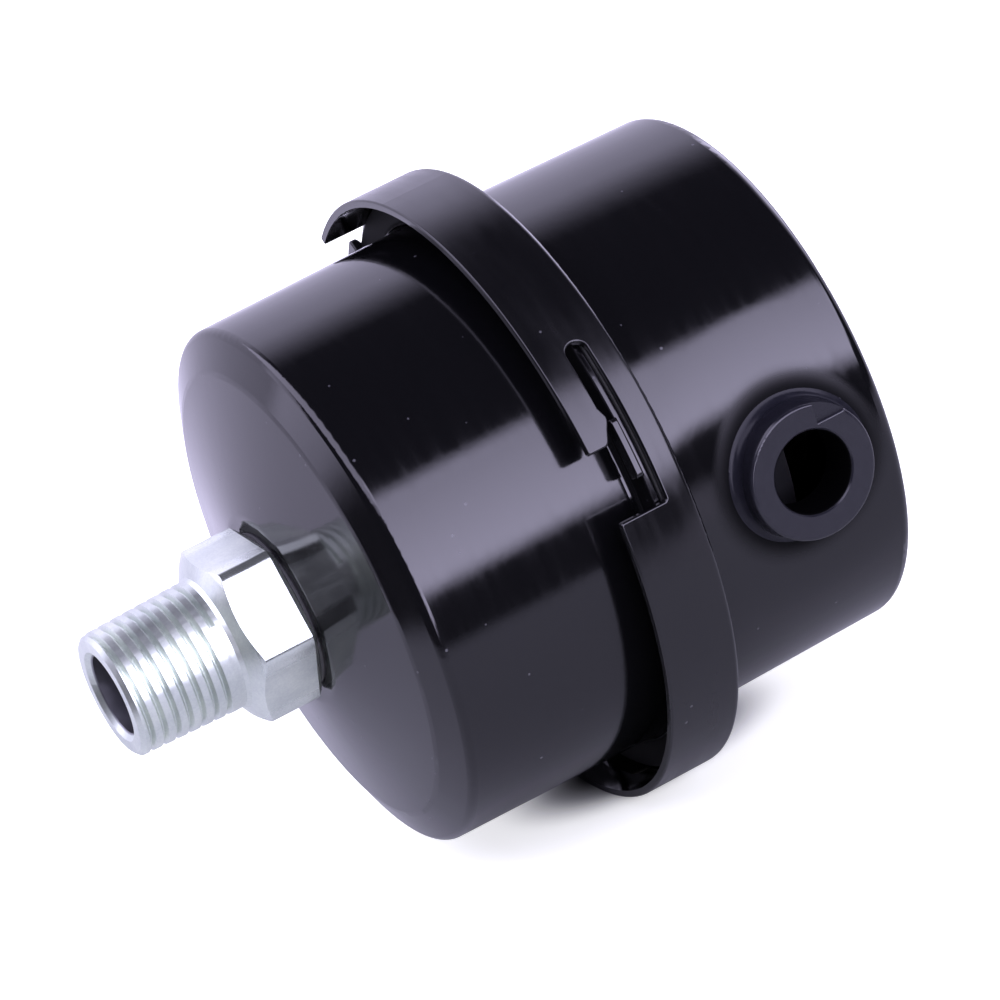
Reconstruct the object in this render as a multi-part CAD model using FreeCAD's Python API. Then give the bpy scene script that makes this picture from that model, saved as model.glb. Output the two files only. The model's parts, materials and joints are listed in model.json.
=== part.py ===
import FreeCAD, Part
import math
import os

# Intake silencer with a bayonet cap: two drawn steel cans, a taper pipe fitting and a filter element.
# All lengths are in millimetres and all angles in degrees.
#
# Frame: the origin is on the axis, at the gauge plane of the pipe thread. +X runs along the axis from
# the thread to the closed end of the rear cap, -Y runs out of the side port and +Z is up. Angles
# around the axis are counted from -Y towards +Z.

V = FreeCAD.Vector
ORIGIN = V(0, 0, 0)
X_AXIS = V(1, 0, 0)
Y_AXIS = V(0, 1, 0)

# ---- pipe fitting -------------------------------------------------------------------------------
THREAD_PITCH = 25.4 / 18
THREAD_TAPER = 1 / 32            # growth in radius per millimetre along the axis
THREAD_CREST_R = 6.808           # at the gauge plane
THREAD_DEPTH = 0.36 * THREAD_PITCH
THREAD_ROOT_FLAT = 0.10
THREAD_FLANK = 30.0
THREAD_TOOL_REACH = 0.06         # how far the groove's cutter stands out of the crests
THREAD_END = -5.8                # free end of the fitting
THREAD_STOP = 5.0                # last full turn
THREAD_LEAD = 0.45               # chamfer on the free end
BORE_R = 4.3
BORE_CHAMFER = 0.6
COLLAR_R = 6.95                  # plain collar between thread and hexagon
COLLAR_FILLET = 0.45
HEX_SIDES = 6
HEX_FRONT = 6.3
HEX_REAR = 13.6
HEX_ACROSS_FLATS = 17.0
HEX_CLOCKING = -3.0              # turn of the hexagon's corner away from -Y
HEX_FACE_R = 7.2                 # flat part of the hexagon's front face
HEX_CHAMFER_ANGLE = 30.0
HEX_EDGE_R = 1.4                 # rounded long edges
HEX_REAR_BEVEL = 0.55
STUB_R = 6.95                    # shank that passes through the front cup
STUB_CLEARANCE = 0.10
STUB_END = 20.7

# ---- sheet and front cup ------------------------------------------------------------------------
SHEET = 0.8
GASKET_THICKNESS = 0.25
GASKET_R = 8.45
CUP_SEAT = HEX_REAR + GASKET_THICKNESS      # outer plane of the flat seat
CUP_SEAT_R = 10.2                            # flat seat under the hexagon
CUP_BEND = 16.9                              # where the shallow face turns into the steeper rim
CUP_BEND_R = 24.5
CUP_BEND_FILLET = 3.0
CUP_EDGE = 18.6                              # where the rim meets the side
CUP_EDGE_R = 28.4
CUP_CORNER_R = 1.0
CUP_RIM_R = 28.75

# ---- collar of the rear cap, measured from its front edge ---------------------------------------
COLLAR_EDGE = 38.4
COLLAR_LENGTH = 8.1
COLLAR_OUT_R = 33.5
COLLAR_IN_R = COLLAR_OUT_R - SHEET
COLLAR_SHOULDER = COLLAR_EDGE + COLLAR_LENGTH
SHOULDER_R = 0.6                 # outer bend of the shoulder
NECK_FILLET = 1.6                # inner bend between shoulder and can

# ---- bayonet ------------------------------------------------------------------------------------
LUG_COUNT = 3
LUG_SPACING = 360 / LUG_COUNT
OPENING_FROM = 9.2               # angles of the opening in the collar's edge
OPENING_TO = 21.6
SLOT_FRONT = COLLAR_EDGE + 3.05
SLOT_REAR = COLLAR_EDGE + 5.32
SLOT_END = 39.6                  # angle of the closed end
OPENING_CORNER_R = 0.35
FINGER_ROOT = 32.0               # angles of the finger between the opening and the slot
DETENT_FROM = 27.9
DETENT_ANGLE = 25.8
DETENT_TIP = COLLAR_EDGE + 3.48
LEAD_IN = COLLAR_EDGE + 2.27     # where the lead-in beside the detent meets the opening
FINGER_R = 0.6                   # rounding of the detent and of the lead-in
FINGER_TIP_R = 0.35
SHEET_EDGE_R = 0.2               # rounded edges of the sheet where it is cut
FLANGE_EDGE_R = 0.12
FLANGE_FRONT = COLLAR_EDGE + 4.38
FLANGE_THICKNESS = 0.75
FLANGE_REAR = FLANGE_FRONT + FLANGE_THICKNESS
FLANGE_R = 32.2
FLANGE_BEND = 0.8
LUG_R = 33.25
LUG_ROOT_R = 29.9
LUG_STEP_R = 31.6                # above this radius the lug stands forward of the flange
LUG_FROM = 14.4
LUG_TO = 25.4
LUG_JOGGLE = 0.82                # how far forward it stands
LUG_CORNER_R = 0.5
LUG_EDGE_R = 0.2

# ---- rear cap -----------------------------------------------------------------------------------
CAP_NECK_R = 28.6
CAP_END = 70.83
CAP_END_R = 28.25
CAP_CORNER_R = 1.2
PORT_X = COLLAR_EDGE + 21.46
PORT_BORE_R = 4.2
PORT_FLANGE_R = 6.9
PORT_FACE = 31.2                 # distance of the port's end face from the axis
PORT_SHANK_R = 5.6
PORT_INNER_END = 26.2
PORT_EDGE_R = 0.35
PORT_BASE_FILLET = 1.0           # between the bush and the can
PORT_BORE_EDGE = 0.25
NOTCH_FROM_X = 2.0               # corner notch in the port's end face, from the port's axis
NOTCH_FROM_Z = 4.5
NOTCH_DEPTH = 0.45
NOTCH_EDGE_R = 0.3

# ---- parts inside -------------------------------------------------------------------------------
WASHER_THICKNESS = 1.0
WASHER_R = 9.7
NUT_THICKNESS = 3.8
NUT_ACROSS_FLATS = 17.0
END_CAP_R = 22.0
END_CAP_HOLE_R = 10.6
END_CAP_THICKNESS = 3.0
END_CAP_FLOOR = 1.5
CORE_IN_R = 11.2
CORE_WALL = 0.6
GUARD_OUT_R = 21.4
GUARD_WALL = 0.5
PLEAT_COUNT = 30
PLEAT_IN_R = 12.4
PLEAT_OUT_R = 20.4
PAPER_THICKNESS = 0.6
ELEMENT_FRONT = 19.0
ELEMENT_REAR = 61.5
SEAL_IN_R = 11.6
SEAL_OUT_R = 21.4
WINDOW_ROWS = 4
WINDOW_LENGTH = 6.0
CORE_WINDOWS = 8
CORE_WINDOW_WIDTH = 4.6
GUARD_WINDOWS = 12
GUARD_WINDOW_WIDTH = 7.0
SPRING_WIRE_R = 0.6
SPRING_MEAN_R = 9.2
SPRING_TURNS = 3.5
SPRING_GAP = 0.10
SPRING_CUP_R = 12.0
SPRING_CUP_HUB_R = 8.0
SPRING_CUP_HUB = 2.2
RIM_GASKET_IN_R = 29.0
RIM_GASKET_OUT_R = 32.4
RUN_GAP = 0.10                   # gap between flat faces that turn on each other
OVERRUN = 2.0                    # how far a cutting tool reaches past the metal
NEAR = 0.02                      # tolerance when edges are picked by their place
SEAM_ANGLE = 90.0                # where a cylinder on the axis has its seam line


# ---- helpers ------------------------------------------------------------------------------------
def disc(r_out, x_from, x_to, r_in=0.0):
    """A plain disc or ring on the axis."""
    solid = Part.makeCylinder(r_out, x_to - x_from, V(x_from, 0, 0), X_AXIS)
    if r_in > 0:
        solid = solid.cut(Part.makeCylinder(r_in, x_to - x_from, V(x_from, 0, 0), X_AXIS))
    return solid


def turned(edges):
    """A solid of revolution about the axis from a closed outline of edges in the XY plane."""
    face = Part.Face(Part.Wire(edges))
    return face.revolve(ORIGIN, X_AXIS, 360)


def turned_points(points):
    """A solid of revolution from the straight outline through (x, radius) points."""
    corners = [V(x, r, 0) for x, r in points]
    corners.append(corners[0])
    return turned(Part.makePolygon(corners).Edges)


def about_axis(shape, angle):
    """The shape turned about the axis, from -Y towards +Z for a positive angle."""
    moved = shape.copy()
    moved.rotate(ORIGIN, X_AXIS, -angle)
    return moved


def sector(r_in, r_out, x_from, x_to, angle_from, angle_to):
    """A block of a ring between two angles."""
    corners = [V(x_from, -r_in, 0), V(x_to, -r_in, 0), V(x_to, -r_out, 0), V(x_from, -r_out, 0)]
    face = Part.Face(Part.makePolygon(corners + corners[:1]))
    block = face.revolve(ORIGIN, X_AXIS, angle_from - angle_to)
    return about_axis(block, angle_from)


def radial_pin(radius, x, angle, r_from, r_to):
    """A round pin that points away from the axis."""
    pin = Part.makeCylinder(radius, r_to - r_from, V(x, -r_from, 0), -Y_AXIS)
    return about_axis(pin, angle)


def edges_at(shape, test):
    """The edges whose middle passes the test, which takes x, radius and angle."""
    found = []
    for edge in shape.Edges:
        middle = edge.valueAt((edge.FirstParameter + edge.LastParameter) / 2)
        radius = math.hypot(middle.y, middle.z)
        angle = math.degrees(math.atan2(middle.z, -middle.y))
        if test(middle.x, radius, angle):
            found.append(edge)
    return found


def ring_edges(shape, x, radius):
    """The edges that lie at one x and one radius."""
    return edges_at(shape, lambda ex, er, ea: abs(ex - x) < NEAR and abs(er - radius) < NEAR)


def hexagon(across_flats, x_from, x_to, clocking):
    """A hexagonal bar on the axis, with a corner at the clocking angle."""
    corner_r = across_flats / math.sqrt(3)
    corners = []
    for index in range(HEX_SIDES + 1):
        angle = math.radians(index * 360 / HEX_SIDES + clocking)
        corners.append(V(x_from, -corner_r * math.cos(angle), corner_r * math.sin(angle)))
    return Part.Face(Part.makePolygon(corners)).extrude(V(x_to - x_from, 0, 0))


# ---- fitting and what clamps it -----------------------------------------------------------------
def thread_crest(x):
    return THREAD_CREST_R + THREAD_TAPER * x


def thread_groove():
    """The helical groove of the taper thread, as a swept cutter."""
    start = THREAD_END - THREAD_PITCH
    root_r = thread_crest(start) - THREAD_DEPTH
    length = THREAD_STOP - start
    helix = Part.makeLongHelix(THREAD_PITCH, length, root_r, math.degrees(math.atan(THREAD_TAPER)))
    reach = THREAD_DEPTH + THREAD_TOOL_REACH
    half_open = THREAD_ROOT_FLAT / 2 + reach * math.tan(math.radians(THREAD_FLANK))
    corners = [
        V(root_r, 0, -THREAD_ROOT_FLAT / 2),
        V(root_r + reach, 0, -half_open),
        V(root_r + reach, 0, half_open),
        V(root_r, 0, THREAD_ROOT_FLAT / 2),
    ]
    section = Part.makePolygon(corners + corners[:1])
    groove = Part.Wire(helix.Edges).makePipeShell([section], True, True)
    groove.rotate(ORIGIN, Y_AXIS, 90)
    groove.translate(V(start, 0, 0))
    if groove.Volume < 0:        # the sweep came out inside out
        groove.reverse()
    return groove


def pipe_fitting():
    """The turned fitting: taper thread, collar, hexagon and the shank that the nut grips."""
    lead_r = thread_crest(THREAD_END) - THREAD_LEAD
    thread_end_r = thread_crest(THREAD_STOP)
    collar_end = HEX_FRONT - COLLAR_FILLET
    body = turned_points([
        (THREAD_END, 0),
        (THREAD_END, lead_r),
        (THREAD_END + THREAD_LEAD, thread_crest(THREAD_END + THREAD_LEAD)),
        (THREAD_STOP, thread_end_r),
        (THREAD_STOP + THREAD_PITCH / 4, COLLAR_R),
        (collar_end, COLLAR_R),
        (HEX_FRONT, COLLAR_R + COLLAR_FILLET / 2),
        (HEX_FRONT, 0),
    ])
    body = body.cut(thread_groove())
    corner_r = HEX_ACROSS_FLATS / math.sqrt(3)
    chamfer = (corner_r - HEX_FACE_R) * math.tan(math.radians(HEX_CHAMFER_ANGLE))
    envelope = turned_points([
        (HEX_FRONT, 0),
        (HEX_FRONT, HEX_FACE_R),
        (HEX_FRONT + chamfer, corner_r),
        (HEX_REAR, corner_r),
        (HEX_REAR, 0),
    ])
    head = hexagon(HEX_ACROSS_FLATS, HEX_FRONT, HEX_REAR, HEX_CLOCKING)
    middle = (HEX_FRONT + HEX_REAR) / 2
    head = head.makeFillet(HEX_EDGE_R, edges_at(head, lambda x, r, a: abs(x - middle) < NEAR))
    head = head.makeChamfer(HEX_REAR_BEVEL, edges_at(head, lambda x, r, a: abs(x - HEX_REAR) < NEAR))
    head = head.common(envelope)
    shank = disc(STUB_R, HEX_REAR, STUB_END)
    fitting = body.fuse([head, shank])
    bore = disc(BORE_R, THREAD_END - OVERRUN, STUB_END + OVERRUN)
    mouth = turned_points([
        (THREAD_END - BORE_CHAMFER, 0),
        (THREAD_END - BORE_CHAMFER, BORE_R + 2 * BORE_CHAMFER),
        (THREAD_END + BORE_CHAMFER, BORE_R),
        (THREAD_END + BORE_CHAMFER, 0),
    ])
    return fitting.cut([bore, mouth])


def fitting_gasket():
    return disc(GASKET_R, HEX_REAR, CUP_SEAT, STUB_R + STUB_CLEARANCE)


def backing_washer():
    seat = CUP_SEAT + SHEET
    return disc(WASHER_R, seat, seat + WASHER_THICKNESS, STUB_R + STUB_CLEARANCE)


def lock_nut():
    face = CUP_SEAT + SHEET + WASHER_THICKNESS
    nut = hexagon(NUT_ACROSS_FLATS, face, face + NUT_THICKNESS, 0.0)
    corner_r = NUT_ACROSS_FLATS / math.sqrt(3)
    chamfer = (corner_r - NUT_ACROSS_FLATS / 2) * math.tan(math.radians(HEX_CHAMFER_ANGLE))
    envelope = turned_points([
        (face, 0),
        (face, corner_r),
        (face + NUT_THICKNESS - chamfer, corner_r),
        (face + NUT_THICKNESS, NUT_ACROSS_FLATS / 2),
        (face + NUT_THICKNESS, 0),
    ])
    hole = disc(STUB_R, face - OVERRUN, face + NUT_THICKNESS + OVERRUN)
    return nut.common(envelope).cut(hole)


# ---- front cup ----------------------------------------------------------------------------------
def coned_can(seat_x, bend_x, edge_x, edge_r, open_r, corner_r):
    """A solid can: flat seat, shallow conical face, steeper rim and a slightly flared side."""
    solid = turned_points([
        (seat_x, 0),
        (seat_x, CUP_SEAT_R),
        (bend_x, CUP_BEND_R),
        (edge_x, edge_r),
        (FLANGE_REAR, open_r),
        (FLANGE_REAR, 0),
    ])
    bends = ring_edges(solid, seat_x, CUP_SEAT_R) + ring_edges(solid, bend_x, CUP_BEND_R)
    solid = solid.makeFillet(CUP_BEND_FILLET, bends)
    return solid.makeFillet(corner_r, ring_edges(solid, edge_x, edge_r))


def cup_outside():
    return coned_can(CUP_SEAT, CUP_BEND, CUP_EDGE, CUP_EDGE_R, CUP_RIM_R, CUP_CORNER_R)


def cup_inside():
    return coned_can(
        CUP_SEAT + SHEET, CUP_BEND + SHEET, CUP_EDGE + SHEET,
        CUP_EDGE_R - SHEET, CUP_RIM_R - SHEET, CUP_CORNER_R / 2,
    )


def lug(angle):
    """One bayonet lug: a joggled tab of the flange that reaches into the collar's slot."""
    front = FLANGE_FRONT - LUG_JOGGLE
    rear = front + FLANGE_THICKNESS
    corners = [
        V(FLANGE_FRONT + SHEET_EDGE_R, -LUG_ROOT_R, 0),
        V(front, -LUG_STEP_R, 0),
        V(front, -LUG_R, 0),
        V(rear, -LUG_R, 0),
        V(FLANGE_REAR - SHEET_EDGE_R, -LUG_STEP_R, 0),
        V(FLANGE_REAR - SHEET_EDGE_R, -LUG_ROOT_R, 0),
    ]
    face = Part.Face(Part.makePolygon(corners + corners[:1]))
    block = about_axis(face.revolve(ORIGIN, X_AXIS, LUG_FROM - LUG_TO), LUG_FROM)
    tips = edges_at(block, lambda x, r, a: abs(r - LUG_R) < NEAR and front + NEAR < x < rear - NEAR)
    block = block.makeFillet(LUG_CORNER_R, tips)
    crest = edges_at(block, lambda x, r, a: abs(r - LUG_R) < NEAR)
    return about_axis(block.makeFillet(LUG_EDGE_R, crest), angle)


def front_cup():
    flange = disc(FLANGE_R, FLANGE_FRONT, FLANGE_REAR)
    rims = ring_edges(flange, FLANGE_FRONT, FLANGE_R) + ring_edges(flange, FLANGE_REAR, FLANGE_R)
    flange = flange.makeFillet(FLANGE_EDGE_R, rims)
    outside = cup_outside().fuse(flange)
    flange_root = edges_at(
        outside,
        lambda x, r, a: abs(x - FLANGE_FRONT) < NEAR and CUP_EDGE_R < r < CUP_RIM_R + SHEET,
    )
    outside = outside.makeFillet(FLANGE_BEND, flange_root)
    shell = outside.cut(cup_inside())
    mouth = ring_edges(shell, FLANGE_REAR, CUP_RIM_R - SHEET)
    shell = shell.makeFillet(FLANGE_BEND, mouth)
    shell = shell.cut(disc(STUB_R + STUB_CLEARANCE, CUP_SEAT - OVERRUN, CUP_SEAT + SHEET + OVERRUN))
    return shell.fuse([lug(index * LUG_SPACING) for index in range(LUG_COUNT)])


# ---- rear cap and its port ----------------------------------------------------------------------
def flat_can(open_x, open_r, end_x, end_r, corner_r):
    """A solid can with a slightly tapered side and a flat end."""
    solid = turned_points([(open_x, 0), (open_x, open_r), (end_x, end_r), (end_x, 0)])
    return solid.makeFillet(corner_r, ring_edges(solid, end_x, end_r))


def can_outside():
    return flat_can(COLLAR_SHOULDER - SHEET, CAP_NECK_R, CAP_END, CAP_END_R, CAP_CORNER_R)


def can_inside():
    return flat_can(
        COLLAR_SHOULDER - 2 * SHEET, CAP_NECK_R - SHEET,
        CAP_END - SHEET, CAP_END_R - SHEET, CAP_CORNER_R - SHEET / 2,
    )


def finger():
    """The part of the collar left standing between an opening and its slot, with the detent."""
    r_in = COLLAR_IN_R - 2 * OVERRUN
    r_out = COLLAR_OUT_R + 2 * OVERRUN
    outline = [
        (COLLAR_EDGE - 2 * OVERRUN, FINGER_ROOT),
        (SLOT_FRONT, FINGER_ROOT),
        (SLOT_FRONT, DETENT_FROM),
        (DETENT_TIP, DETENT_ANGLE),
        (LEAD_IN, OPENING_TO),
        (COLLAR_EDGE - 2 * OVERRUN, OPENING_TO),
    ]
    corners = []
    for x, angle in outline:
        along = COLLAR_OUT_R * math.radians(angle - DETENT_ANGLE)
        corners.append(V(x, -r_in, along))
    block = Part.Face(Part.makePolygon(corners + corners[:1])).extrude(V(0, r_in - r_out, 0))
    bends = []
    for edge in block.Edges:
        ends = [vertex.Point for vertex in edge.Vertexes]
        across = abs(ends[0].y - ends[1].y) > NEAR
        if across and any(abs(ends[0].x - c.x) + abs(ends[0].z - c.z) < NEAR for c in corners[2:5]):
            bends.append(edge)
    return about_axis(block.makeFillet(FINGER_R, bends), DETENT_ANGLE)


def bayonet_cutter():
    """The L-shaped way through the collar's wall for one lug, with the finger left standing."""
    r_in = COLLAR_IN_R - OVERRUN
    r_out = COLLAR_OUT_R + OVERRUN
    half_width = (SLOT_REAR - SLOT_FRONT) / 2
    end_angle = SLOT_END - math.degrees(half_width / COLLAR_OUT_R)
    clear_to = (FINGER_ROOT + DETENT_FROM) / 2
    opening = sector(r_in, r_out, COLLAR_EDGE - OVERRUN, SLOT_REAR, OPENING_FROM, clear_to)
    opening = opening.cut(finger())
    slot = sector(r_in, r_out, SLOT_FRONT, SLOT_REAR, clear_to - 1, end_angle)
    closed_end = radial_pin(half_width, (SLOT_FRONT + SLOT_REAR) / 2, end_angle, r_in, r_out)
    way = opening.fuse([slot, closed_end]).removeSplitter()
    back = edges_at(
        way,
        lambda x, r, a: abs(x - SLOT_REAR) < NEAR and abs(a - OPENING_FROM) < NEAR and r_in < r < r_out,
    )
    return way.makeFillet(OPENING_CORNER_R, back)


def collar_wall():
    """The slotted band of the collar, with the tips beside each opening rounded."""
    band_end = COLLAR_SHOULDER - 2 * SHEET
    band = disc(COLLAR_OUT_R, COLLAR_EDGE, band_end, COLLAR_IN_R)
    cutter = bayonet_cutter()
    band = band.cut([about_axis(cutter, index * LUG_SPACING) for index in range(LUG_COUNT)])
    tips = edges_at(
        band,
        lambda x, r, a: abs(x - COLLAR_EDGE) < NEAR and COLLAR_IN_R + NEAR < r < COLLAR_OUT_R - NEAR,
    )
    band = band.makeFillet(FINGER_TIP_R, tips)
    contour = edges_at(
        band,
        lambda x, r, a: abs(r - COLLAR_OUT_R) < NEAR and x < band_end - NEAR and abs(a - SEAM_ANGLE) > NEAR,
    )
    return band.makeFillet(SHEET_EDGE_R, contour)


def rear_cap():
    band_end = COLLAR_SHOULDER - 2 * SHEET
    shoulder = disc(COLLAR_OUT_R, band_end, COLLAR_SHOULDER)
    shoulder = shoulder.makeFillet(SHOULDER_R, ring_edges(shoulder, COLLAR_SHOULDER, COLLAR_OUT_R))
    shoulder = shoulder.cut(disc(COLLAR_IN_R, band_end, COLLAR_SHOULDER - SHEET))
    outside = can_outside().fuse(shoulder)
    neck = edges_at(
        outside,
        lambda x, r, a: abs(x - COLLAR_SHOULDER) < NEAR and abs(r - CAP_NECK_R) < NEAR,
    )
    outside = outside.makeFillet(NECK_FILLET, neck)
    can = outside.cut(can_inside())
    cap = can.fuse(collar_wall()).removeSplitter()
    port_hole = Part.makeCylinder(PORT_SHANK_R, CAP_NECK_R, V(PORT_X, -CAP_NECK_R / 2, 0), -Y_AXIS)
    return cap.cut(port_hole)


def port_flange():
    """The outer end of the bush, standing on the can with a fillet round its foot."""
    flange = Part.makeCylinder(PORT_FLANGE_R, PORT_FACE, V(PORT_X, 0, 0), -Y_AXIS)
    rim = [e for e in flange.Edges if abs(e.valueAt(e.FirstParameter).y + PORT_FACE) < NEAR]
    can = can_outside()
    standing = can.fuse(flange.makeFillet(PORT_EDGE_R, rim))
    foot = []
    for edge in standing.Edges:
        middle = edge.valueAt((edge.FirstParameter + edge.LastParameter) / 2)
        on_flange = abs(math.hypot(middle.x - PORT_X, middle.z) - PORT_FLANGE_R) < NEAR
        on_can = abs(math.hypot(middle.y, middle.z) - CAP_NECK_R) < SHEET
        if on_flange and on_can and middle.y < 0:
            foot.append(edge)
    return standing.makeFillet(PORT_BASE_FILLET, foot).cut(can)


def port_bush():
    """The side port: a bush whose flange sits on the can and whose inner lip is clinched behind it."""
    shank = Part.makeCylinder(
        PORT_SHANK_R, PORT_FACE - NOTCH_DEPTH - PORT_INNER_END, V(PORT_X, -PORT_INNER_END, 0), -Y_AXIS,
    )
    lip_length = CAP_NECK_R - PORT_INNER_END
    lip = Part.makeCylinder(PORT_FLANGE_R, lip_length, V(PORT_X, -PORT_INNER_END, 0), -Y_AXIS)
    lip = lip.common(can_inside())
    bore = Part.makeCylinder(PORT_BORE_R, PORT_FACE + OVERRUN, V(PORT_X, 0, 0), -Y_AXIS)
    mouth = Part.makeCone(
        PORT_BORE_R, PORT_BORE_R + 2 * PORT_BORE_EDGE, 2 * PORT_BORE_EDGE,
        V(PORT_X, -PORT_FACE + PORT_BORE_EDGE, 0), -Y_AXIS,
    )
    notch = Part.makeBox(
        PORT_FLANGE_R, NOTCH_DEPTH + OVERRUN, PORT_FLANGE_R,
        V(PORT_X + NOTCH_FROM_X, -PORT_FACE - OVERRUN, NOTCH_FROM_Z),
    )
    bush = port_flange().fuse([shank, lip]).cut([bore, mouth, notch]).removeSplitter()
    step = []
    for edge in bush.Edges:
        middle = edge.valueAt((edge.FirstParameter + edge.LastParameter) / 2)
        on_face = abs(middle.y + PORT_FACE) < NEAR and abs(middle.z - NOTCH_FROM_Z) < NEAR
        if on_face and middle.x > PORT_X + NOTCH_FROM_X:
            step.append(edge)
    return bush.makeFillet(NOTCH_EDGE_R, step)


def rim_gasket():
    return disc(RIM_GASKET_OUT_R, FLANGE_REAR + RUN_GAP, COLLAR_SHOULDER - SHEET, RIM_GASKET_IN_R)


# ---- filter element -----------------------------------------------------------------------------
def element_seal():
    """The foam ring that fills the space between the cup and the element's front end."""
    ring = disc(SEAL_OUT_R, CUP_SEAT, ELEMENT_FRONT, SEAL_IN_R)
    return ring.common(cup_inside())


def channel_depth():
    return END_CAP_THICKNESS - END_CAP_FLOOR


def front_end_ring():
    rear = ELEMENT_FRONT + END_CAP_THICKNESS
    ring = disc(END_CAP_R, ELEMENT_FRONT, rear, END_CAP_HOLE_R)
    return ring.cut(disc(GUARD_OUT_R, rear - channel_depth(), rear, CORE_IN_R))


def rear_end_disc():
    front = ELEMENT_REAR - END_CAP_THICKNESS
    plate = disc(END_CAP_R, front, ELEMENT_REAR)
    return plate.cut(disc(GUARD_OUT_R, front, front + channel_depth(), CORE_IN_R))


def media_front():
    return ELEMENT_FRONT + END_CAP_FLOOR


def media_rear():
    return ELEMENT_REAR - END_CAP_FLOOR


def windowed_tube(r_in, r_out, windows, width):
    """A sheet tube with rows of rectangular windows, every second row turned by half a step."""
    tube = disc(r_out, media_front(), media_rear(), r_in)
    first = ELEMENT_FRONT + END_CAP_THICKNESS
    last = ELEMENT_REAR - END_CAP_THICKNESS
    step = (last - first) / WINDOW_ROWS
    cutters = []
    for row in range(WINDOW_ROWS):
        x_from = first + (row + 0.5) * step - WINDOW_LENGTH / 2
        for index in range(windows):
            window = Part.makeBox(
                WINDOW_LENGTH, r_out + OVERRUN - r_in / 2, width,
                V(x_from, -r_out - OVERRUN, -width / 2),
            )
            cutters.append(about_axis(window, (index + 0.5 * (row % 2)) * 360 / windows))
    return tube.cut(cutters)


def core_tube():
    return windowed_tube(CORE_IN_R, CORE_IN_R + CORE_WALL, CORE_WINDOWS, CORE_WINDOW_WIDTH)


def outer_guard():
    return windowed_tube(GUARD_OUT_R - GUARD_WALL, GUARD_OUT_R, GUARD_WINDOWS, GUARD_WINDOW_WIDTH)


def pleated_paper():
    """The zigzag paper wall, folded between the core and the guard."""
    outer, inner = [], []
    for index in range(2 * PLEAT_COUNT + 1):
        angle = math.radians(index * 180 / PLEAT_COUNT)
        at_tip = index % 2 == 0
        radius = PLEAT_OUT_R if at_tip else PLEAT_IN_R
        outer.append(V(media_front(), radius * math.cos(angle), radius * math.sin(angle)))
        radius -= PAPER_THICKNESS
        inner.append(V(media_front(), radius * math.cos(angle), radius * math.sin(angle)))
    length = V(media_rear() - media_front(), 0, 0)
    around = Part.Face(Part.makePolygon(outer)).extrude(length)
    within = Part.Face(Part.makePolygon(inner)).extrude(length)
    return around.cut(within)


# ---- spring and its seat ------------------------------------------------------------------------
def spring_cup():
    """The pressed seat on the cap's end that keeps the spring in the middle."""
    rear = CAP_END - SHEET
    plate = disc(SPRING_CUP_R, rear - SHEET, rear)
    hub = disc(SPRING_CUP_HUB_R, rear - SPRING_CUP_HUB, rear)
    hub = hub.makeFillet(SHEET, ring_edges(hub, rear - SPRING_CUP_HUB, SPRING_CUP_HUB_R))
    return plate.fuse(hub)


def element_spring():
    """A coil spring with flat ground ends, between the element and its seat."""
    front = ELEMENT_REAR + SPRING_GAP
    rear = CAP_END - 2 * SHEET
    rise = rear - front
    helix = Part.makeLongHelix(rise / SPRING_TURNS, rise, SPRING_MEAN_R)
    section = Part.Wire(Part.makeCircle(SPRING_WIRE_R, V(SPRING_MEAN_R, 0, 0), Y_AXIS))
    coil = Part.Wire(helix.Edges).makePipeShell([section], True, True)
    coil.rotate(ORIGIN, Y_AXIS, 90)
    coil.translate(V(front, 0, 0))
    return coil.common(disc(SPRING_CUP_R, front, rear))


PARTS = {
    "pipe_fitting": pipe_fitting,
    "fitting_gasket": fitting_gasket,
    "front_cup": front_cup,
    "backing_washer": backing_washer,
    "lock_nut": lock_nut,
    "element_seal": element_seal,
    "front_end_ring": front_end_ring,
    "core_tube": core_tube,
    "pleated_paper": pleated_paper,
    "outer_guard": outer_guard,
    "rear_end_disc": rear_end_disc,
    "element_spring": element_spring,
    "spring_cup": spring_cup,
    "rim_gasket": rim_gasket,
    "rear_cap": rear_cap,
    "port_bush": port_bush,
}


def main():
    os.makedirs("parts", exist_ok=True)
    for name, make in PARTS.items():
        shape = make()
        solids = len(shape.Solids)
        print(f"{name}: valid {shape.isValid()}, solids {solids}, volume {shape.Volume:.1f} mm3")
        shape.exportStep(os.path.join("parts", name + ".step"))


main()
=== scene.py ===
import json
import math

import bpy
from mathutils import Matrix, Vector


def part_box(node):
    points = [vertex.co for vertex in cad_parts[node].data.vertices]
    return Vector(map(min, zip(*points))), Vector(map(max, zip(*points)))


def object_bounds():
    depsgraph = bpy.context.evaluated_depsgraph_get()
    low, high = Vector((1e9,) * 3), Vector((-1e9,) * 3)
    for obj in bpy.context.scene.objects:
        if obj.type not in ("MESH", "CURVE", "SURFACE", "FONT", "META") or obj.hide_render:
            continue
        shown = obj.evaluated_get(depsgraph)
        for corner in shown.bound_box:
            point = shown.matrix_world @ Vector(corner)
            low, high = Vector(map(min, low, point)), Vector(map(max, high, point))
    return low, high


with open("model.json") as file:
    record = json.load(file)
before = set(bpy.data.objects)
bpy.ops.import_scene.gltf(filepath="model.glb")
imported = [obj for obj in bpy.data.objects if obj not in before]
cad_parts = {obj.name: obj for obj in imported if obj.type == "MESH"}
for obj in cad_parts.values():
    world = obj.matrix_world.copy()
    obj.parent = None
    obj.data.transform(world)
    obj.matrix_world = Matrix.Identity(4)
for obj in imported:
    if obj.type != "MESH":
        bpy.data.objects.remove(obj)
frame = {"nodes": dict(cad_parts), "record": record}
cad_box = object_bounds()
scene = bpy.context.scene
nodes = frame["nodes"]

MM = 0.001
MICRON = 1e-6

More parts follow.
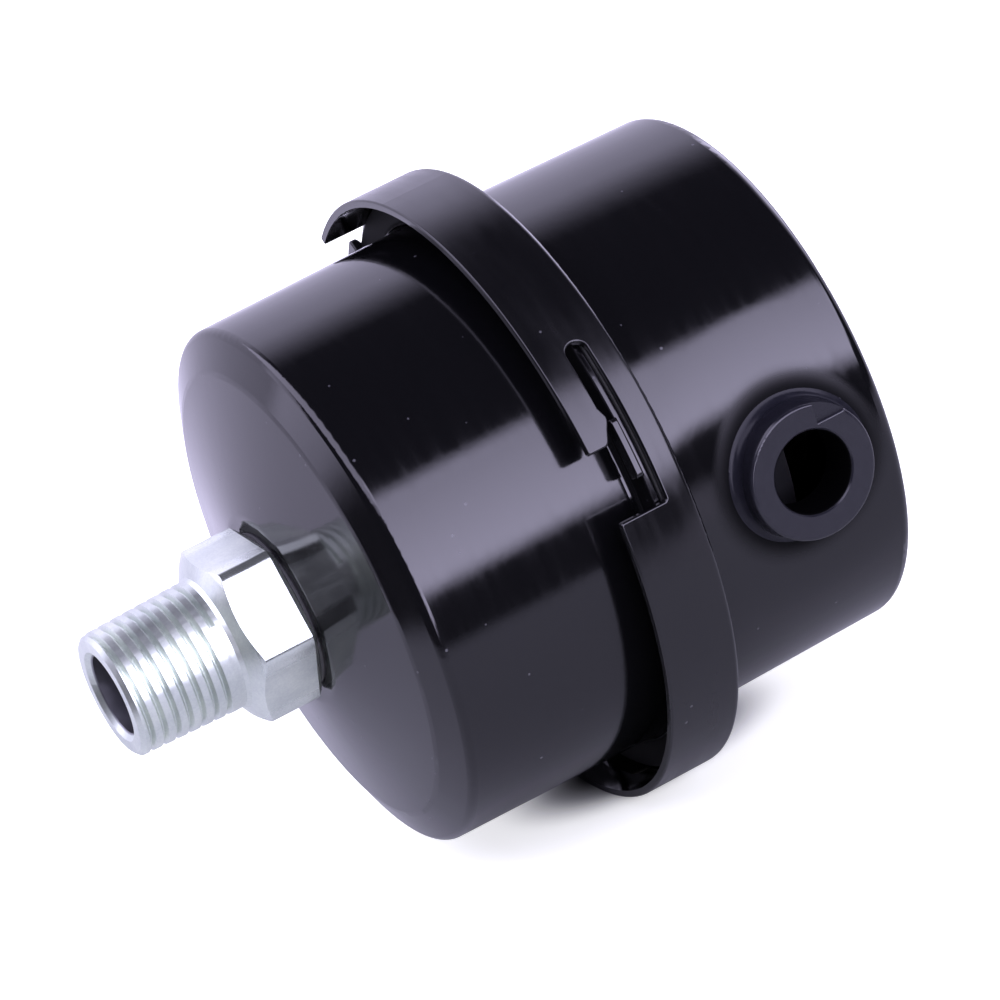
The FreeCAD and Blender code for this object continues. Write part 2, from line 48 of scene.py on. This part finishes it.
# ---- places on the part, in metres -----------------------------------------------------------------
# The axis runs along X from the thread to the cap's end, and the port points to -Y.
mounts = {mount["name"]: mount for mount in frame["record"]["mounts"]}
FLOOR_Z = cad_box[0][2]                                   # lowest point of the collar
COLLAR_R = cad_box[1][2]                                  # the collar is the widest part
FITTING_BORE_R = mounts["outlet_bore"]["dims"]["r_mm"] * MM
PORT_BORE_R = mounts["inlet_port"]["dims"]["r_mm"] * MM
PORT_X = mounts["inlet_port"]["pos_m"][0]                 # the port's axis
PORT_FACE_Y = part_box("port_bush")[0].y                    # the port's end face
PORT_SIDE_Y = -10 * MM                                    # the port's side of the can starts here
HEX_FLAT_R = 8.5 * MM                                     # the hexagon's flats, from the axis
FLANGE_FACE_X = 42.75 * MM                                # about the front face of the cup's flange
FLANGE_IN_R = 29.1 * MM
FLANGE_OUT_R = 32.35 * MM
MIDDLE_X = 35 * MM                                        # about the middle of the part's length


# ---- node graphs -----------------------------------------------------------------------------------
class Graph:
    """Short calls for building a shader or world node tree."""

    # sockets of a Mix node that is set to colours
    MIX_FACTOR, MIX_FIRST, MIX_SECOND, MIX_RESULT = 0, 6, 7, 2

    def __init__(self, tree):
        self.tree = tree
        tree.nodes.clear()

    def node(self, kind, inputs=(), **settings):
        made = self.tree.nodes.new(kind)
        for key, value in settings.items():
            setattr(made, key, value)
        for key, value in dict(inputs).items():
            self.feed(made.inputs[key], value)
        return made

    def feed(self, socket, value):
        if isinstance(value, bpy.types.NodeSocket):
            self.tree.links.new(value, socket)
        elif socket.type == "RGBA":
            socket.default_value = (*value, 1.0)
        else:
            socket.default_value = value

    def math(self, operation, a, b=0.0):
        return self.node("ShaderNodeMath", {0: a, 1: b}, operation=operation).outputs[0]

    def add(self, a, b):
        return self.math("ADD", a, b)

    def mul(self, a, b):
        return self.math("MULTIPLY", a, b)

    def brightest(self, first, *others):
        """The highest of several values."""
        for other in others:
            first = self.math("MAXIMUM", first, other)
        return first

    def length(self, a, b):
        """Distance from the origin of the point (a, b)."""
        return self.math("SQRT", self.add(self.mul(a, a), self.mul(b, b)))

    def ramp(self, value, low, high, low_out=0.0, high_out=1.0, **settings):
        """Change from low_out to high_out as the value goes from low to high, and none outside."""
        inputs = {"Value": value, "From Min": low, "From Max": high, "To Min": low_out, "To Max": high_out}
        return self.node("ShaderNodeMapRange", inputs, **settings).outputs["Result"]

    def step(self, value, low, high, low_out=0.0, high_out=1.0):
        """The same change as a ramp, with soft ends."""
        return self.ramp(value, low, high, low_out, high_out, interpolation_type="SMOOTHSTEP")

    def fall(self, value, low, high):
        """1 below low and 0 above high."""
        return self.step(value, low, high, 1.0, 0.0)

    def band(self, value, rise, fall):
        """1 between rise and fall and 0 outside; each is the range over which it changes."""
        return self.mul(self.step(value, *rise), self.fall(value, *fall))

    def axes(self, vector):
        """The three parts of a vector."""
        return self.node("ShaderNodeSeparateXYZ", {0: vector}).outputs

    def scaled(self, vector, factor):
        return self.node("ShaderNodeVectorMath", {0: vector, "Scale": factor}, operation="SCALE").outputs[0]

    def mix(self, factor, first, second):
        """A mix of two colours; first may also be the result of another mix."""
        inputs = {self.MIX_FACTOR: factor, self.MIX_FIRST: first, self.MIX_SECOND: second}
        return self.node("ShaderNodeMix", inputs, data_type="RGBA").outputs[self.MIX_RESULT]


# ---- studio ----------------------------------------------------------------------------------------
# Directions are in degrees: azimuth from the front (-Y) towards +X, elevation up from the horizon.

# brightness of what the part mirrors
KEY_BOTTOM, KEY_TOP = 6.3, 4.4
FAR_BOX = 4.0
WALL_BOTTOM, WALL_TOP = 0.95, 1.45
WALL_BELOW_HORIZON = 1.17                 # times the wall's own
WINDOW = 1.9
OVERHEAD = 3.2
# TABLE_UNDER: the table's brightness straight under the part, a painted shadow of it
TABLE_UNDER, TABLE_OUT = 0.42, 0.88
ROOM = 0.055
LIGHT_TINT = (1.0, 0.945, 1.30)
BACKDROP = (1.0, 1.0, 1.0)                # what the camera sees behind the part

# floor
FLOOR_SIZE = 4.0
FLOOR_SEEN = (0.84, 0.87, 0.76)           # its colour as the camera sees it
FLOOR_MIRRORED = (0.45, 0.46, 0.46)       # its colour as the part mirrors it
FLOOR_GLOW = 0.57
GLOW_MIRRORED = 0.06                      # share of the glow that the part mirrors
CONTACT_X, CONTACT_Y = 45.5 * MM, 2 * MM                      # middle of the painted shadow under the collar
CONTACT_HALF_LENGTH, CONTACT_HALF_WIDTH = 14.5 * MM, 9.5 * MM
CONTACT_SHADE = 0.01                      # share of the colour that is left in its middle

# camera, at the photo's viewing angle
CAMERA_AZIMUTH = -19.7077
CAMERA_ELEVATION = 21.2442
CAMERA_ROLL = -19.8263
CAMERA_AIM_X = 38.4 * MM                  # a point on the axis, at the collar's front edge
CAMERA_RIGHT = 1.1498 * MM                # how far the camera stands beside and above that aim
CAMERA_UP = 0.2077 * MM
CAMERA_DISTANCE = 506.4 * MM
FOCAL_LENGTH = 180.18                     # in millimetres, as the sensor's width
SENSOR_WIDTH = 36


def key_softbox(g, azimuth, elevation):
    """The large softbox in front on the right, brighter towards its slanting lower edge."""
    strength = g.ramp(elevation, 8.0, 36.0, KEY_BOTTOM, KEY_TOP)
    low_edge = g.step(g.add(elevation, g.mul(azimuth, -0.5)), -11.0, -2.5)
    high_edge = g.fall(g.add(elevation, g.mul(azimuth, 0.42)), 48.0, 56.0)
    sides = g.band(azimuth, (-22.0, -10.0), (60.0, 75.0))
    return g.mul(g.mul(strength, sides), g.mul(low_edge, high_edge))


def far_softbox(g, azimuth, elevation):
    """A smaller softbox at the right rear."""
    box = g.mul(g.band(azimuth, (92.0, 104.0), (134.0, 144.0)), g.band(elevation, (2.0, 10.0), (34.0, 42.0)))
    return g.mul(box, FAR_BOX)


def back_wall(g, behind, elevation):
    """The white wall behind the part, brighter towards its top and below the horizon."""
    strength = g.ramp(elevation, 0.0, 38.0, WALL_BOTTOM, WALL_TOP)
    strength = g.mul(strength, g.ramp(elevation, -12.0, 4.0, WALL_BELOW_HORIZON, 1.0))
    return g.mul(g.mul(behind, g.fall(elevation, 36.0, 62.0)), strength)


def window(g, azimuth, elevation):
    """A window at the left rear."""
    pane = g.band(azimuth, (-144.0, -134.0), (-124.0, -116.0))
    return g.mul(g.mul(pane, g.band(elevation, (-8.0, 4.0), (46.0, 56.0))), WINDOW)


def overhead_light(g, x, z):
    """A long light above and left of the part."""
    return g.mul(g.mul(g.band(x, (-0.92, -0.80), (-0.20, -0.05)), g.step(z, 0.52, 0.66)), OVERHEAD)


def table_top(g, behind, azimuth, elevation):
    """The table, darker close under the part as a painted shadow of it; in front its edge leaves a dark gap
    below the softbox.
    """
    slant = g.add(g.mul(azimuth, 2.4), -66.0)
    edge = g.math("MINIMUM", g.math("MAXIMUM", slant, -25.0), -10.5)
    edge = g.mul(edge, g.fall(behind, 0.0, 1.0))
    above_edge = g.math("SUBTRACT", elevation, edge)
    # darker towards straight down: a painted shadow of the part on the table
    return g.mul(g.fall(above_edge, -5.0, 3.0), g.step(elevation, -68.0, -42.0, TABLE_UNDER, TABLE_OUT))


def studio_world():
    """A dark room with its lights, wall and table; the camera itself sees a plain white backdrop."""
    world = bpy.data.worlds.new("studio")
    scene.world = world
    world.use_nodes = True
    g = Graph(world.node_tree)
    x, y, z = g.axes(g.node("ShaderNodeTexCoord").outputs["Generated"])
    elevation = g.math("DEGREES", g.math("ARCSINE", z))
    azimuth = g.math("DEGREES", g.math("ARCTAN2", x, g.mul(y, -1.0)))
    # everything from the right round the back to the left rear
    behind = g.brightest(g.step(azimuth, 75.0, 95.0), g.fall(azimuth, -130.0, -120.0))
    total = g.brightest(
        key_softbox(g, azimuth, elevation),
        far_softbox(g, azimuth, elevation),
        back_wall(g, behind, elevation),
        window(g, azimuth, elevation),
        overhead_light(g, x, z),
        table_top(g, behind, azimuth, elevation),
        ROOM,
    )
    studio = g.node("ShaderNodeBackground", {"Color": g.scaled(LIGHT_TINT, total)}).outputs[0]
    backdrop = g.node("ShaderNodeBackground", {"Color": BACKDROP}).outputs[0]
    is_camera = g.node("ShaderNodeLightPath").outputs["Is Camera Ray"]
    mixed = g.node("ShaderNodeMixShader", {0: is_camera, 1: studio, 2: backdrop}).outputs[0]
    g.node("ShaderNodeOutputWorld", {0: mixed})


def studio_floor():
    """A pale floor with a faint glow, both darkened by a painted shadow where the collar rests on it.

    The part mirrors it darker than the camera sees it, and further out the part mirrors the world's
    table instead.
    """
    bpy.ops.mesh.primitive_plane_add(size=FLOOR_SIZE, location=(0, 0, FLOOR_Z))
    floor = bpy.context.object
    floor.name = "floor"
    material = bpy.data.materials.new("floor")
    material.use_nodes = True
    g = Graph(material.node_tree)
    x, y, _ = g.axes(g.node("ShaderNodeTexCoord").outputs["Object"])
    mirrored = g.node("ShaderNodeLightPath").outputs["Is Glossy Ray"]

    along = g.mul(g.add(x, -CONTACT_X), 1 / CONTACT_HALF_LENGTH)
    across = g.mul(g.add(y, -CONTACT_Y), 1 / CONTACT_HALF_WIDTH)
    from_contact = g.length(along, across)
    # painted shadow: the floor's colour and glow fade out towards where the collar rests
    shade = g.step(from_contact, 0.45, 0.9, CONTACT_SHADE, 1.0)
    colour = g.scaled(g.mix(mirrored, FLOOR_SEEN, FLOOR_MIRRORED), shade)
    glow = g.step(from_contact, 0.7, 1.25, 0.0, FLOOR_GLOW)
    glow = g.mul(glow, g.ramp(mirrored, 0.0, 1.0, 1.0, GLOW_MIRRORED))

    lit = g.node("ShaderNodeBsdfDiffuse", {"Color": colour}).outputs[0]
    shine = g.node("ShaderNodeEmission", {"Color": (1.0, 1.0, 1.0), "Strength": glow}).outputs[0]
    top = g.node("ShaderNodeAddShader", {0: lit, 1: shine}).outputs[0]
    from_part = g.length(g.add(x, -MIDDLE_X), y)
    far = g.mul(g.step(from_part, 90 * MM, 130 * MM), mirrored)
    clear = g.node("ShaderNodeBsdfTransparent").outputs[0]
    mixed = g.node("ShaderNodeMixShader", {0: far, 1: top, 2: clear}).outputs[0]
    g.node("ShaderNodeOutputMaterial", {0: mixed})
    floor.data.materials.append(material)


def camera():
    """The camera, rolled because the part leans in the photo and its axis is level here."""
    azimuth, elevation, roll = (math.radians(a) for a in (CAMERA_AZIMUTH, CAMERA_ELEVATION, CAMERA_ROLL))
    flat = math.cos(elevation)
    toward = Vector((math.sin(azimuth) * flat, -math.cos(azimuth) * flat, math.sin(elevation)))
    level = Vector((math.cos(azimuth), math.sin(azimuth), 0))
    upright = toward.cross(level)
    right = math.cos(roll) * level + math.sin(roll) * upright
    up = -math.sin(roll) * level + math.cos(roll) * upright
    aim = Vector((CAMERA_AIM_X, 0, 0))
    place = aim + CAMERA_RIGHT * right + CAMERA_UP * up + CAMERA_DISTANCE * toward
    data = bpy.data.cameras.new("camera")
    data.lens = FOCAL_LENGTH
    data.sensor_width = SENSOR_WIDTH
    cam = bpy.data.objects.new("camera", data)
    scene.collection.objects.link(cam)
    cam.matrix_world = Matrix((
        (right.x, up.x, toward.x, place.x),
        (right.y, up.y, toward.y, place.y),
        (right.z, up.z, toward.z, place.z),
        (0, 0, 0, 1),
    ))
    scene.camera = cam


# ---- materials -------------------------------------------------------------------------------------
class Surface(Graph):
    """One material: a Principled shader with a colour, a roughness and a bump built from its patterns.

    Patterns are made at place, which is local moved by the shift, so that two materials of one kind
    don't show the same spots.
    """

    def __init__(self, name, shift=0.0):
        self.material = bpy.data.materials.new(name)
        self.material.use_nodes = True
        super().__init__(self.material.node_tree)
        self.local = self.node("ShaderNodeTexCoord").outputs["Object"]
        inputs = {0: self.local, 1: (shift, shift, shift)}
        self.place = self.node("ShaderNodeVectorMath", inputs, operation="ADD").outputs[0]
        self.height = None

    def noise(self, per_mm, detail=2.0, vector=None, rough=0.5):
        """Noise from about 0.2 to 0.8, with this many features in a millimetre."""
        inputs = {"Vector": vector or self.place, "Scale": per_mm / MM, "Detail": detail, "Roughness": rough}
        return self.node("ShaderNodeTexNoise", inputs).outputs["Fac"]

    def stretched(self, x, y, z):
        """The place with each axis scaled, for marks that run one way."""
        inputs = {0: self.place, 1: (x, y, z)}
        return self.node("ShaderNodeVectorMath", inputs, operation="MULTIPLY").outputs[0]

    def turning(self, wobble):
        """Coordinates that change along the axis and with the radius, but little around the axis."""
        x, y, z = self.axes(self.place)
        inputs = {0: x, 1: self.length(y, z), 2: self.mul(y, wobble)}
        return self.node("ShaderNodeCombineXYZ", inputs).outputs[0]

    def cells(self, per_mm):
        """Irregular cells; the outputs are Distance, from a cell's middle, and Color, one for each cell."""
        return self.node("ShaderNodeTexVoronoi", {"Vector": self.place, "Scale": per_mm / MM}).outputs

    def colour_part(self, colour, part):
        """One part of a colour: 0 is red, 1 green and 2 blue."""
        return self.node("ShaderNodeSeparateColor", {0: colour}).outputs[part]

    def specks(self, per_mm, size, share):
        """Small round spots: size is their radius as a part of the spacing, share how many cells have one."""
        cells = self.cells(per_mm)
        chosen = self.math("LESS_THAN", self.colour_part(cells["Color"], 0), share)
        return self.mul(self.fall(cells["Distance"], size * 0.5, size), chosen)

    def relief(self, pattern, microns):
        """Adds a pattern to the bump; a change of 1 in the pattern is this many microns high."""
        inputs = {"Height": pattern, "Distance": microns * MICRON, "Strength": 1.0}
        if self.height is not None:
            inputs["Normal"] = self.height
        self.height = self.node("ShaderNodeBump", inputs).outputs[0]

    def finish(self, colour, roughness, **others):
        """Makes the shader; others are its further inputs, with _ for a space in their names."""
        inputs = {"Base Color": colour, "Roughness": roughness}
        inputs.update({key.replace("_", " "): value for key, value in others.items()})
        if self.height is not None:
            inputs["Normal"] = self.height
        shader = self.node("ShaderNodeBsdfPrincipled", inputs)
        self.node("ShaderNodeOutputMaterial", {0: shader.outputs[0]})
        return self.material


def cup_zones(s):
    """The cup's zone of painted shade, the front face of its flange, made dull and nearly unreflecting; the
    cup has no smears.
    """
    x, y, z = s.axes(s.local)
    face = s.band(
        x,
        (FLANGE_FACE_X - 0.25 * MM, FLANGE_FACE_X - 0.15 * MM),
        (FLANGE_FACE_X + 0.15 * MM, FLANGE_FACE_X + 0.25 * MM),
    )
    ring = s.band(
        s.length(y, z),
        (FLANGE_IN_R - 0.2 * MM, FLANGE_IN_R + 0.2 * MM),
        (FLANGE_OUT_R - 0.05 * MM, FLANGE_OUT_R + 0.05 * MM),
    )
    # painted shade: the flange's front face, inside the collar
    return s.mul(face, ring), 0.0


def cap_zones(s):
    """The cap's zone of painted shade, a dull dark halo round the base of the port, and the smears that hands
    leave on its collar.

    The sheet is also pulled in a little round the port.
    """
    x, y, z = s.axes(s.local)
    from_port = s.length(s.add(x, -PORT_X), z)
    port_side = s.fall(y, PORT_SIDE_Y, 0.0)
    pulled = s.fall(from_port, 6 * MM, 16 * MM)
    s.relief(s.mul(pulled, port_side), -330.0)
    # painted shade: a dull halo round the port on its side of the can, with almost no reflection
    painted_port_halo = s.mul(s.fall(from_port, 7.7 * MM, 10.5 * MM), port_side)
    smears = s.noise(0.12, 3.0, s.stretched(1.0, 0.5, 0.5))
    grip = s.step(s.length(y, z), COLLAR_R - 0.6 * MM, COLLAR_R - 0.3 * MM)
    return painted_port_halo, s.mul(grip, s.ramp(smears, 0.3, 0.7, 0.05, 0.17))


def enamel(name, zones, shift):
    """Black enamel: slight orange peel, soft waves of the pressed sheet, dust, faint rub marks and a zone of
    painted shade.

    zones(s) gives the piece's zone of painted shade, as 0 to 1, and how much rougher its smears are; that
    zone is made dull and loses nearly all its reflection.
    """
    s = Surface(name, shift)
    waves = s.noise(0.05, 1.0)
    peel = s.noise(0.55, 2.0)
    rub = s.noise(0.9, 3.0, s.stretched(1.0, 0.12, 0.12))
    dust = s.specks(0.42, 0.085, 0.30)
    nibs = s.specks(0.16, 0.05, 0.35)
    s.relief(waves, 55.0)
    s.relief(peel, 5.0)
    s.relief(nibs, 10.0)
    dull_painted_shade, smears = zones(s)
    colour = s.mix(s.mul(dust, 0.55), (0.0018, 0.0018, 0.0022), (0.075, 0.075, 0.085))
    rough = s.add(s.ramp(rub, 0.35, 0.75, 0.075, 0.145), s.mul(dust, 0.25))
    rough = s.math("MAXIMUM", s.add(rough, smears), s.mul(dull_painted_shade, 0.6))
    # painted shade: the zone's reflection drops to a tenth, so that it reads black
    return s.finish(colour, rough, IOR=1.5, Specular_IOR_Level=s.ramp(dull_painted_shade, 0.0, 1.0, 0.5, 0.05))


def port_enamel(name):
    """Satin enamel over a turned bush: fine turning lines, a slightly dry film, a bore made near black and
    dull as painted shade, and sides that reflect less than the end face, also painted shade.
    """
    s = Surface(name)
    lines = s.noise(6.0, 2.0, s.turning(0.05))
    film = s.noise(1.1, 2.0)
    s.relief(film, 3.5)
    s.relief(lines, 0.6)
    x, y, z = s.axes(s.local)
    from_axis = s.length(s.add(x, -PORT_X), z)
    # painted shade: the bore is made near black, dull and almost without reflection
    bore = s.fall(from_axis, PORT_BORE_R + 0.05 * MM, PORT_BORE_R + 0.15 * MM)
    skin = s.mix(film, (0.006, 0.006, 0.009), (0.011, 0.011, 0.015))
    colour = s.mix(bore, skin, (0.0012, 0.0012, 0.0014))
    rough = s.math("MAXIMUM", s.ramp(film, 0.3, 0.7, 0.17, 0.27), s.mul(bore, 0.95))
    # painted shade: the bush's side reflects less than its end face
    face = s.step(y, PORT_FACE_Y + 0.3 * MM, PORT_FACE_Y + 0.8 * MM, 1.0, 0.3)
    level = s.mul(s.ramp(bore, 0.0, 1.0, 0.40, 0.02), face)
    return s.finish(colour, rough, IOR=1.5, Specular_IOR_Level=level)


def zinc(name, low, high, metallic):
    """Zinc plating: cloudy bluish tone, frosty grain, turning marks and a few handling dents.

    The hexagon's corners are burnished, and the bore is darker.
    """
    s = Surface(name)
    cloud = s.noise(0.22, 3.0)
    grain = s.noise(9.0, 3.0, rough=0.7)
    frost = s.noise(3.5, 3.0, rough=0.6)
    turned = s.noise(5.0, 2.0, s.turning(0.04))
    marks = s.noise(1.8, 2.0, s.stretched(0.15, 1.0, 1.0))
    dents = s.specks(0.8, 0.16, 0.22)
    s.relief(grain, 2.2)
    s.relief(frost, 2.5)
    s.relief(turned, 3.0)
    s.relief(dents, -9.0)
    tone = s.ramp(s.add(cloud, s.mul(frost, 0.5)), 0.55, 0.95)
    plated = s.mix(tone, (0.58, 0.635, 0.585), (0.74, 0.795, 0.71))
    _, y, z = s.axes(s.local)
    radius = s.length(y, z)
    bore = s.fall(radius, FITTING_BORE_R + 0.05 * MM, FITTING_BORE_R + 0.2 * MM)
    corners = s.step(radius, HEX_FLAT_R + 0.35 * MM, HEX_FLAT_R + 0.65 * MM)
    rough = s.add(s.ramp(cloud, 0.3, 0.7, low, high), s.ramp(marks, 0.5, 0.8, 0.0, 0.10))
    rough = s.add(rough, s.mul(corners, -0.17))
    return s.finish(s.mix(bore, plated, (0.20, 0.20, 0.22)), rough, Metallic=metallic)


def galvanised(name):
    """Galvanised sheet with spangle: flat crystals that differ in tone."""
    s = Surface(name)
    tone = s.colour_part(s.cells(0.45)["Color"], 1)
    s.relief(s.noise(3.0, 3.0), 4.0)
    colour = s.mix(tone, (0.52, 0.54, 0.56), (0.72, 0.73, 0.74))
    return s.finish(colour, s.ramp(tone, 0.0, 1.0, 0.30, 0.48), Metallic=1.0)


def wire(name):
    """Oil-tempered wire: brown-grey with drawing lines along it."""
    s = Surface(name)
    stains = s.noise(0.8, 3.0)
    s.relief(s.noise(12.0, 2.0, s.turning(0.02)), 1.5)
    colour = s.mix(stains, (0.30, 0.29, 0.28), (0.50, 0.49, 0.48))
    return s.finish(colour, s.ramp(stains, 0.3, 0.7, 0.28, 0.45), Metallic=1.0)


def paper(name):
    """Filter paper: warm fibres that run along the pleats, in a tone that varies."""
    s = Surface(name)
    fibres = s.noise(2.2, 4.0, s.stretched(0.35, 1.0, 1.0), rough=0.65)
    tone = s.noise(0.25, 2.0)
    s.relief(fibres, 35.0)
    colour = s.mix(s.ramp(s.add(fibres, tone), 0.7, 1.3), (0.70, 0.62, 0.43), (0.88, 0.83, 0.66))
    return s.finish(colour, s.ramp(fibres, 0.3, 0.7, 0.85, 0.95))


def resin(name):
    """Moulded black resin: faint flow marks and a dull skin."""
    s = Surface(name)
    flow = s.noise(0.15, 3.0)
    s.relief(s.noise(2.5, 2.0), 6.0)
    colour = s.mix(flow, (0.005, 0.005, 0.006), (0.012, 0.012, 0.013))
    return s.finish(colour, s.ramp(flow, 0.3, 0.7, 0.60, 0.75), Specular_IOR_Level=0.2)


def foam(name):
    """Closed-cell foam: small round cells in a dark skin."""
    s = Surface(name)
    from_middle = s.cells(2.4)["Distance"]
    s.relief(from_middle, 110.0)
    colour = s.mix(from_middle, (0.055, 0.055, 0.055), (0.025, 0.025, 0.025))
    return s.finish(colour, s.ramp(s.noise(0.5), 0.3, 0.7, 0.86, 0.96))


def fibre(name, per_mm, dark, light):
    """Pressed fibre or moulded rubber: a matt, finely mottled skin."""
    s = Surface(name)
    mottle = s.noise(per_mm, 4.0, rough=0.65)
    s.relief(mottle, 18.0)
    return s.finish(s.mix(mottle, dark, light), s.ramp(mottle, 0.3, 0.7, 0.72, 0.90))


FINISHES = {
    "zinc": zinc("zinc", 0.29, 0.37, 0.94),
    "zinc_inner": zinc("zinc_inner", 0.30, 0.42, 0.85),
    "black_enamel": enamel("black_enamel", cup_zones, shift=0.0),
    "black_enamel_cap": enamel("black_enamel_cap", cap_zones, shift=0.31),
    "port_enamel": port_enamel("port_enamel"),
    "gasket_fibre": fibre("gasket_fibre", 3.0, (0.022, 0.022, 0.024), (0.045, 0.044, 0.046)),
    "seal_rubber": fibre("seal_rubber", 1.2, (0.014, 0.014, 0.014), (0.028, 0.028, 0.028)),
    "seal_foam": foam("seal_foam"),
    "end_cap_resin": resin("end_cap_resin"),
    "galvanised_mesh": galvanised("galvanised_mesh"),
    "filter_paper": paper("filter_paper"),
    "spring_steel": wire("spring_steel"),
}

for part in frame["record"]["subparts"]:
    slots = nodes[part["node"]].data.materials
    slots.clear()
    slots.append(FINISHES[part["material_slot"]])

studio_world()
studio_floor()
camera()
scene.view_settings.view_transform = "Standard"
